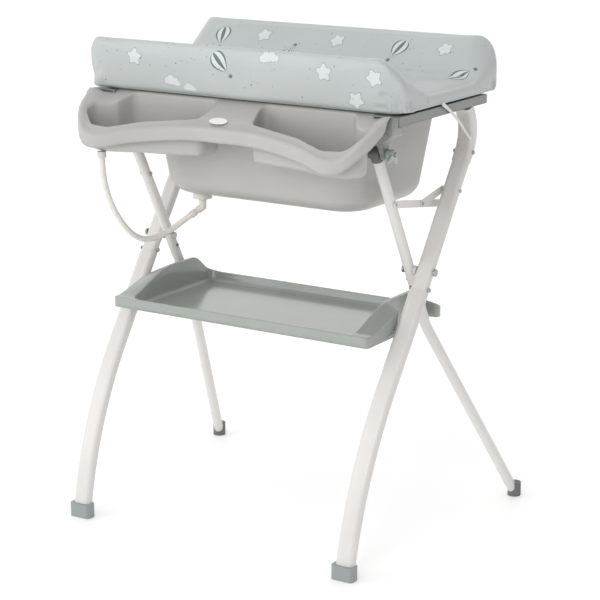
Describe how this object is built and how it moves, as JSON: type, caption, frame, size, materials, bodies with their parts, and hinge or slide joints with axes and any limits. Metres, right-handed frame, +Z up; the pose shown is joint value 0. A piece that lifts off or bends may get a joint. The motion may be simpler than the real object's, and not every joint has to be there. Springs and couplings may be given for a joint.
{
  "type": "folding changing table",
  "caption": "Folding changing table: a padded mat over a baby bath with soap cups, on crossed tube legs with a low shelf and a drain hose.",
  "frame": {"origin": "on the floor, in the middle of the box around the four feet", "axes": "+Z up, +X to the right-hand end seen from the front, the front faces -Y"},
  "size_m": [0.8182, 0.6405, 1.01],
  "materials": {
    "frame_enamel": "smooth off-white enamel",
    "outer_foot_plastic": "moulded grey-green plastic",
    "inner_foot_plastic": "dark grey moulded foot",
    "dark_plastic": "dark grey moulded plastic",
    "knob_plastic": "grey-green moulded plastic",
    "zinc": "dull zinc",
    "washer_plastic": "pale nylon",
    "rail_green": "satin grey-green",
    "shelf_green": "glossy grey-green moulded plastic",
    "tub_plastic": "satin warm grey moulded plastic",
    "badge_white": "blank white badge",
    "drain_plastic": "off-white moulded plastic",
    "plug_rubber": "grey rubber",
    "hose_pvc": "translucent off-white soft tube",
    "mat_cover": "soft coated film over foam",
    "mat_base": "dark board",
    "strap_elastic": "woven elastic"
  },
  "bodies": {
    "outer_frame": {"outer_leg_lower_left": "frame_enamel", "outer_leg_lower_right": "frame_enamel", "outer_leg_upper_left": "frame_enamel", "outer_leg_upper_right": "frame_enamel", "outer_leg_elbow_left": "frame_enamel", "outer_leg_elbow_right": "frame_enamel", "outer_foot_left": "outer_foot_plastic", "outer_foot_right": "outer_foot_plastic", "outer_leg_bolts": "zinc", "pivot_bolts": "zinc", "pivot_washers": "washer_plastic", "stay_rear_rivet": "zinc", "shelf_tray": "shelf_green", "shelf_pins": "zinc"},
    "inner_legs": {"inner_leg_lower_left": "frame_enamel", "inner_leg_lower_right": "frame_enamel", "inner_leg_upper_left": "frame_enamel", "inner_leg_upper_right": "frame_enamel", "inner_foot_left": "inner_foot_plastic", "inner_foot_right": "inner_foot_plastic", "inner_leg_buttons": "dark_plastic", "inner_leg_bolt": "zinc", "top_socket_left": "dark_plastic", "top_socket_right": "dark_plastic", "hinge_bolt_left": "zinc", "hinge_bolt_right": "zinc", "stay_front_rivet": "zinc"},
    "stay_front_bar": {"stay_front": "frame_enamel", "stay_middle_stud": "zinc"},
    "stay_rear_bar": {"stay_rear": "frame_enamel", "stay_middle_cap": "zinc"},
    "top_frame": {"side_rail_left": "rail_green", "side_rail_right": "rail_green", "front_bracket_left": "rail_green", "front_bracket_right": "rail_green", "front_cross_tube": "frame_enamel", "rear_cross_tube": "frame_enamel", "bath_tub": "tub_plastic", "badge_plate": "badge_white", "drain_seat": "drain_plastic", "drain_nut": "drain_plastic", "drain_elbow": "drain_plastic", "drain_hose": "hose_pvc", "hose_sleeve": "drain_plastic", "hose_holder": "drain_plastic"},
    "knob_left": {"wing_knob_left": "knob_plastic"},
    "knob_right": {"wing_knob_right": "knob_plastic"},
    "plug": {"drain_plug": "plug_rubber"},
    "mat": {"mat_board": "mat_base", "mat_pad": "mat_cover", "mat_hinges": "mat_base", "mat_strap_left": "strap_elastic", "mat_strap_right": "strap_elastic"}
  },
  "joints": [
    {"name": "frame_fold", "type": "hinge", "parent": "outer_frame", "child": "inner_legs", "pos_m": [0, -0.01225, 0.5637], "axis": [-1, 0, 0], "range_deg": [0, 44]},
    {"name": "top_tilt", "type": "hinge", "parent": "inner_legs", "child": "top_frame", "pos_m": [0, -0.15295, 0.825], "axis": [1, 0, 0], "range_deg": [0, 73.5]},
    {"name": "stay_front_turn", "type": "hinge", "parent": "inner_legs", "child": "stay_front_bar", "pos_m": [0.3125, -0.09264, 0.713], "axis": [1, 0, 0], "range_deg": [-14, 0]},
    {"name": "stay_rear_turn", "type": "hinge", "parent": "outer_frame", "child": "stay_rear_bar", "pos_m": [0.3148, 0.09307, 0.713], "axis": [1, 0, 0], "range_deg": [0, 67]},
    {"name": "knob_left_turn", "type": "hinge", "parent": "inner_legs", "child": "knob_left", "pos_m": [-0.336, -0.15295, 0.825], "axis": [1, 0, 0], "continuous": true},
    {"name": "knob_right_turn", "type": "hinge", "parent": "inner_legs", "child": "knob_right", "pos_m": [0.336, -0.15295, 0.825], "axis": [1, 0, 0], "continuous": true},
    {"name": "mat_lift", "type": "hinge", "parent": "top_frame", "child": "mat", "pos_m": [0, 0.17375, 0.8905], "axis": [-1, 0, 0], "range_deg": [0, 95], "deforming": ["mat_strap_left", "mat_strap_right"]},
    {"name": "plug_lift", "type": "slide", "parent": "top_frame", "child": "plug", "axis": [0, 0, 1], "range_m": [0, 0.045]}
  ],
  "couplings": [
    {"joint": "top_tilt", "follows": "frame_fold", "ratio": 1.6667},
    {"joint": "stay_front_turn", "follows": "frame_fold", "ratio": -0.311},
    {"joint": "stay_rear_turn", "follows": "frame_fold", "ratio": 1.518}
  ]
}
